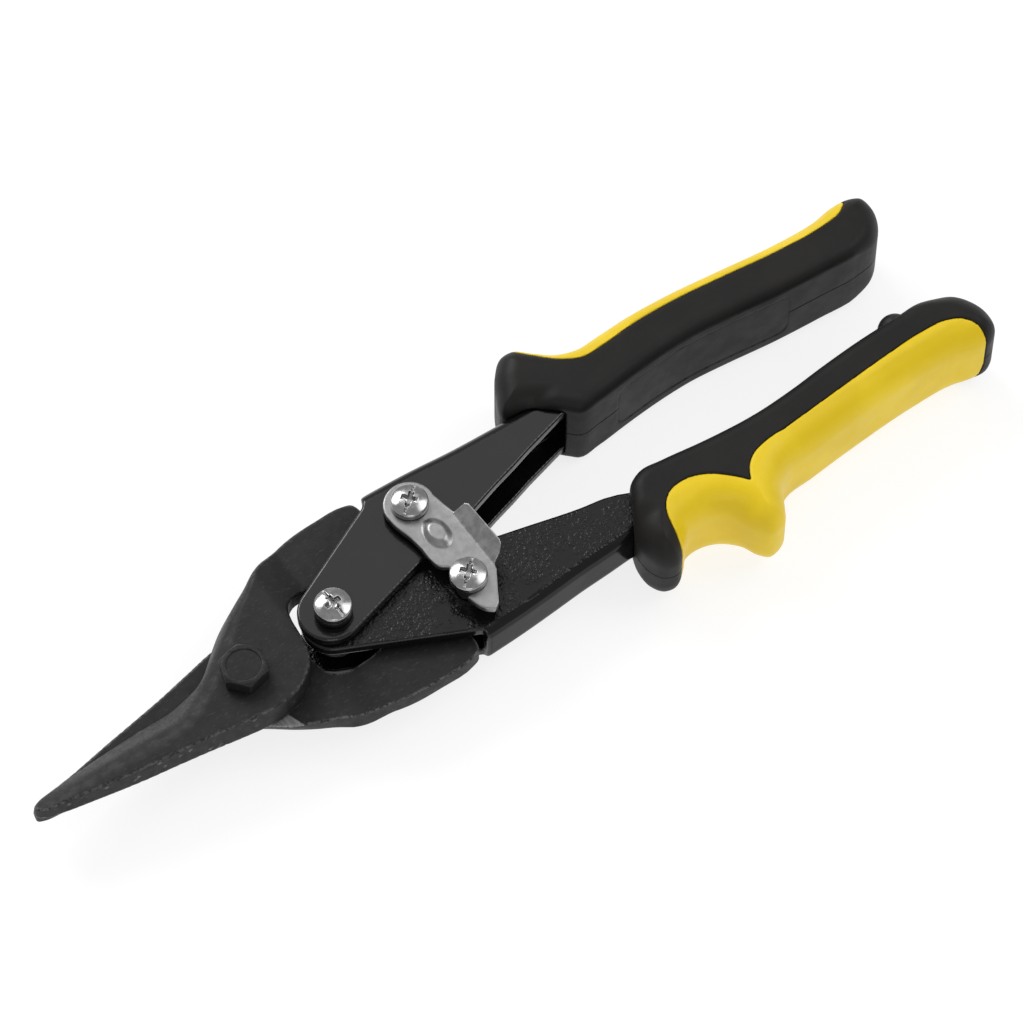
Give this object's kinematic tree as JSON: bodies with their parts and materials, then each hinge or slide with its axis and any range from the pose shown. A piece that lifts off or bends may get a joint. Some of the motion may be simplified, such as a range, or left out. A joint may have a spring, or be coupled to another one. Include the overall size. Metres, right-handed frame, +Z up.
{
  "type": "aviation snips",
  "caption": "Straight-cut aviation snips: forged blades on a hex bolt, nested channel handles with moulded two-colour grips, a return spring and a swinging safety latch.",
  "frame": {"origin": "centre of the bounding box's underside, on the surface the tool lies on", "axes": "+X along the tool from the blade tips to the grips, +Y towards the left handle that carries the latch, +Z up out of the bolt head"},
  "size_m": [0.255, 0.0742, 0.0276],
  "materials": {
    "forged_jaw": "matte black oxide over forged steel",
    "handle_paint": "gloss black paint on pressed steel",
    "zinc_plate": "bright zinc plating",
    "dark_fastener": "black oxide",
    "spring_steel": "oiled spring wire",
    "grip_black": "fine matte moulded",
    "grip_yellow": "soft satin moulded",
    "bumper": "matte"
  },
  "bodies": {
    "left_side": {"left_handle": "handle_paint", "left_grip_body": "grip_black", "left_grip_strip": "grip_yellow", "handle_pivot_screw": "zinc_plate", "handle_pivot_washer": "dark_fastener", "handle_pivot_bush": "dark_fastener", "handle_pivot_nut": "dark_fastener", "return_spring": "spring_steel", "left_pin_screw": "zinc_plate", "left_pin_spacer_upper": "dark_fastener", "left_pin_spacer_lower": "dark_fastener", "left_pin_nut": "dark_fastener"},
    "right_side": {"right_handle": "handle_paint", "right_grip_body": "grip_black", "right_grip_pad": "grip_yellow", "stop_bumper": "bumper", "right_pin_screw": "zinc_plate", "right_pin_collar": "zinc_plate", "right_pin_spacer_upper": "dark_fastener", "right_pin_spacer_lower": "dark_fastener", "right_pin_nut": "dark_fastener"},
    "upper_blade": {"upper_jaw": "forged_jaw", "jaw_bolt": "forged_jaw", "jaw_spring_washer": "dark_fastener", "jaw_nut": "dark_fastener"},
    "lower_blade": {"lower_jaw": "forged_jaw"},
    "latch": {"latch_plate": "zinc_plate"}
  },
  "joints": [
    {"name": "handle_hinge", "type": "hinge", "parent": "left_side", "child": "right_side", "pos_m": [-0.0455, 0.00285, 0.0125], "axis": [0, 0, -1], "range_deg": [0, 36]},
    {"name": "upper_jaw_hinge", "type": "hinge", "parent": "left_side", "child": "upper_blade", "pos_m": [-0.01615, 0.0146, 0.0125], "axis": [0, 0, -1], "range_deg": [0, 8.7]},
    {"name": "blade_hinge", "type": "hinge", "parent": "upper_blade", "child": "lower_blade", "pos_m": [-0.0701, 0.00285, 0.0125], "axis": [0, 0, -1], "range_deg": [0, 18.7]},
    {"name": "latch_hinge", "type": "hinge", "parent": "left_side", "child": "latch", "pos_m": [-0.01615, 0.0146, 0.02273], "axis": [0, 0, 1], "range_deg": [0, 90]}
  ],
  "couplings": [
    {"joint": "upper_jaw_hinge", "follows": "handle_hinge", "ratio": 0.241},
    {"joint": "blade_hinge", "follows": "handle_hinge", "ratio": 0.518},
    {"joint": "latch_hinge", "follows": "handle_hinge", "ratio": 2.5}
  ]
}
